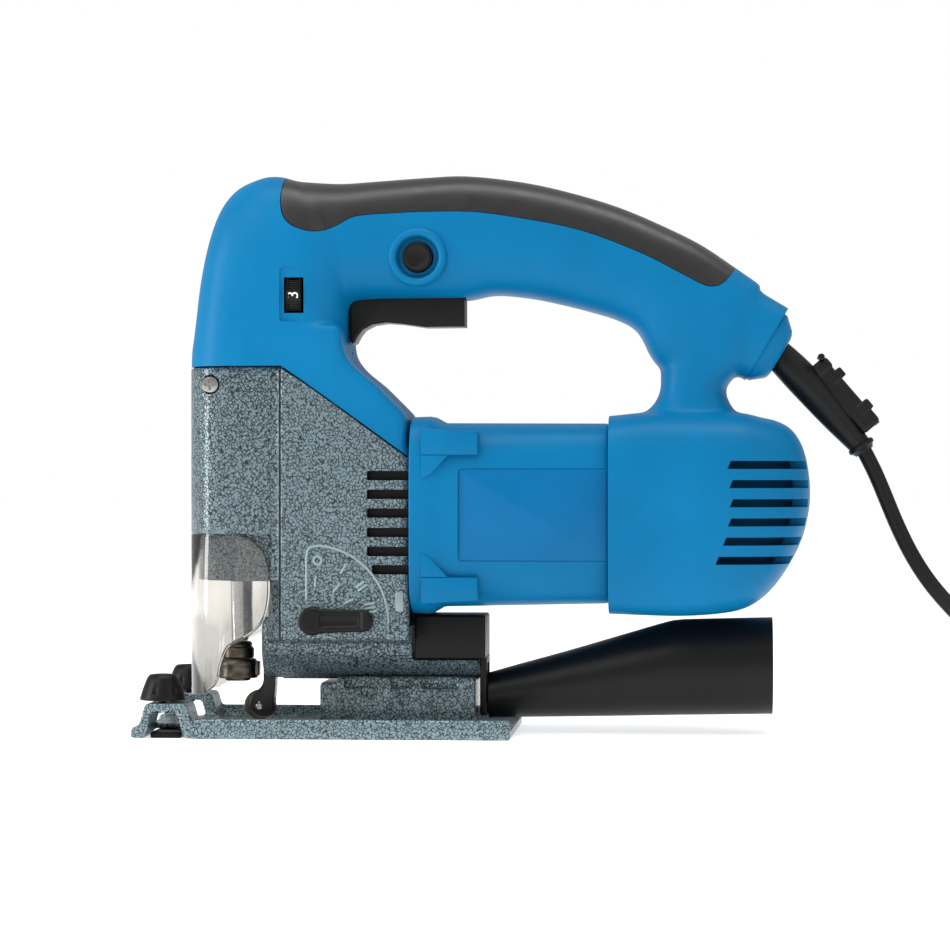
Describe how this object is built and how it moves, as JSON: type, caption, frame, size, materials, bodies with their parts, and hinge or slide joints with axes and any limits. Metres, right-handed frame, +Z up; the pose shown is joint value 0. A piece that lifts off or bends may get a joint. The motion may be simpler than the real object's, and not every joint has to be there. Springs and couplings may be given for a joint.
{
  "type": "jigsaw power tool",
  "caption": "Corded orbital-action jigsaw with a closed D handle, cast gear head, tilting shoe, clear blade guard and pull-off dust spout.",
  "frame": {"origin": "centre of the base of the tool's bounding box, on the surface it stands on, leaving out the cord", "axes": "+Z up, -X towards the blade end, -Y the tool's left side"},
  "size_m": [0.4231, 0.0992, 0.2057],
  "materials": {
    "blue_plastic": "satin moulded plastic",
    "soft_grip": "soft matt overmould",
    "black_plastic": "matt moulded plastic",
    "hammered_casting": "hammered paint with dark veins",
    "hammered_steel": "hammered paint with dark veins",
    "bright_steel": "ground",
    "dark_steel": "blackened",
    "clear_plastic": "clear moulded plastic",
    "copper_winding": "enamelled wire",
    "lamination": "stacked sheet",
    "bronze": "sintered",
    "carbon": "pressed carbon",
    "cord_rubber": "smooth sheath"
  },
  "bodies": {
    "root": {"left_handle_shell": "blue_plastic", "right_handle_shell": "blue_plastic", "handle_screw_1": "bright_steel", "handle_screw_2": "bright_steel", "handle_screw_3": "bright_steel", "left_grip_pad": "soft_grip", "right_grip_pad": "soft_grip", "motor_housing": "blue_plastic", "gear_housing": "hammered_casting", "left_nose_screw": "dark_steel", "right_nose_screw": "dark_steel", "dust_duct": "black_plastic", "lower_bushing": "bronze", "upper_bushing": "bronze", "fork_pin": "bright_steel", "gear_axle": "bright_steel", "bearing_plate": "lamination", "front_bearing": "bright_steel", "stator_core": "lamination", "front_field_coil": "copper_winding", "rear_field_coil": "copper_winding", "brush_carrier": "black_plastic", "rear_bearing": "bright_steel", "left_brush_holder": "bronze", "left_carbon_brush": "carbon", "right_brush_holder": "bronze", "right_carbon_brush": "carbon", "switch_body": "black_plastic", "cord_sleeve": "cord_rubber", "key_clip": "soft_grip", "hex_key": "dark_steel", "cord_run": "cord_rubber", "cord_coil": "cord_rubber", "mains_plug": "black_plastic"},
    "shoe": {"shoe_plate": "hammered_steel", "sole_pad": "black_plastic", "tilt_bracket": "hammered_steel", "bevel_screw": "dark_steel"},
    "guard": {"blade_guard": "clear_plastic"},
    "plunger": {"plunger": "bright_steel", "clamp_collar": "dark_steel", "clamp_body": "dark_steel", "scotch_yoke": "bright_steel"},
    "fork": {"roller_fork": "black_plastic", "roller_pin": "bright_steel"},
    "roller": {"guide_roller": "black_plastic"},
    "orbit_selector": {"orbit_lever": "black_plastic"},
    "trigger": {"trigger": "black_plastic"},
    "lock_button": {"lock_button": "black_plastic"},
    "speed_dial": {"speed_dial": "black_plastic"},
    "left_thumb_screw": {"left_fence_knob": "black_plastic", "left_fence_screw": "bright_steel"},
    "right_thumb_screw": {"right_fence_knob": "black_plastic", "right_fence_screw": "bright_steel"},
    "spout": {"dust_spout": "black_plastic"},
    "armature": {"armature_shaft": "bright_steel", "armature_core": "lamination", "commutator": "copper_winding", "cooling_fan": "black_plastic"},
    "crank": {"crank_gear": "bright_steel"}
  },
  "joints": [
    {"name": "shoe_tilt", "type": "hinge", "parent": "root", "child": "shoe", "pos_m": [-0.025, 0, 0.034], "axis": [1, 0, 0], "range_deg": [-45, 45]},
    {"name": "guard_pull", "type": "slide", "parent": "root", "child": "guard", "axis": [-1, 0, 0], "range_m": [0, 0.035]},
    {"name": "plunger_stroke", "type": "slide", "parent": "root", "child": "plunger", "axis": [0, 0, 1], "range_m": [0, 0.019]},
    {"name": "fork_swing", "type": "hinge", "parent": "root", "child": "fork", "pos_m": [-0.0765, 0, 0.044], "axis": [0, 1, 0], "range_deg": [0, 3]},
    {"name": "roller_spin", "type": "hinge", "parent": "fork", "child": "roller", "pos_m": [-0.0806, 0, 0.0096], "axis": [0, 1, 0], "continuous": true},
    {"name": "orbit_select", "type": "hinge", "parent": "root", "child": "orbit_selector", "pos_m": [-0.0575, -0.03, 0.0422], "axis": [0, 1, 0], "range_deg": [-90, 0]},
    {"name": "trigger_press", "type": "slide", "parent": "root", "child": "trigger", "axis": [0, 0, 1], "range_m": [0, 0.006], "stiffness_N_per_m": 800, "springref_m": -0.005},
    {"name": "lock_press", "type": "slide", "parent": "root", "child": "lock_button", "axis": [0, 1, 0], "range_m": [0, 0.003], "stiffness_N_per_m": 500, "springref_m": -0.003},
    {"name": "dial_turn", "type": "hinge", "parent": "root", "child": "speed_dial", "pos_m": [-0.065, -0.0176, 0.1605], "axis": [1, 0, 0], "range_deg": [-150, 150]},
    {"name": "left_screw_turn", "type": "hinge", "parent": "shoe", "child": "left_thumb_screw", "pos_m": [-0.1122, -0.03, 0.015], "axis": [0, 0, 1], "continuous": true},
    {"name": "right_screw_turn", "type": "hinge", "parent": "shoe", "child": "right_thumb_screw", "pos_m": [-0.1122, 0.03, 0.015], "axis": [0, 0, 1], "continuous": true},
    {"name": "spout_pull", "type": "slide", "parent": "root", "child": "spout", "axis": [1, 0, 0], "range_m": [0, 0.04]},
    {"name": "armature_spin", "type": "hinge", "parent": "root", "child": "armature", "pos_m": [0, 0, 0.0805], "axis": [1, 0, 0], "continuous": true},
    {"name": "crank_spin", "type": "hinge", "parent": "root", "child": "crank", "pos_m": [-0.06, 0, 0.1012], "axis": [1, 0, 0], "continuous": true}
  ],
  "couplings": [
    {"joint": "crank_spin", "follows": "armature_spin", "ratio": -0.21053}
  ]
}
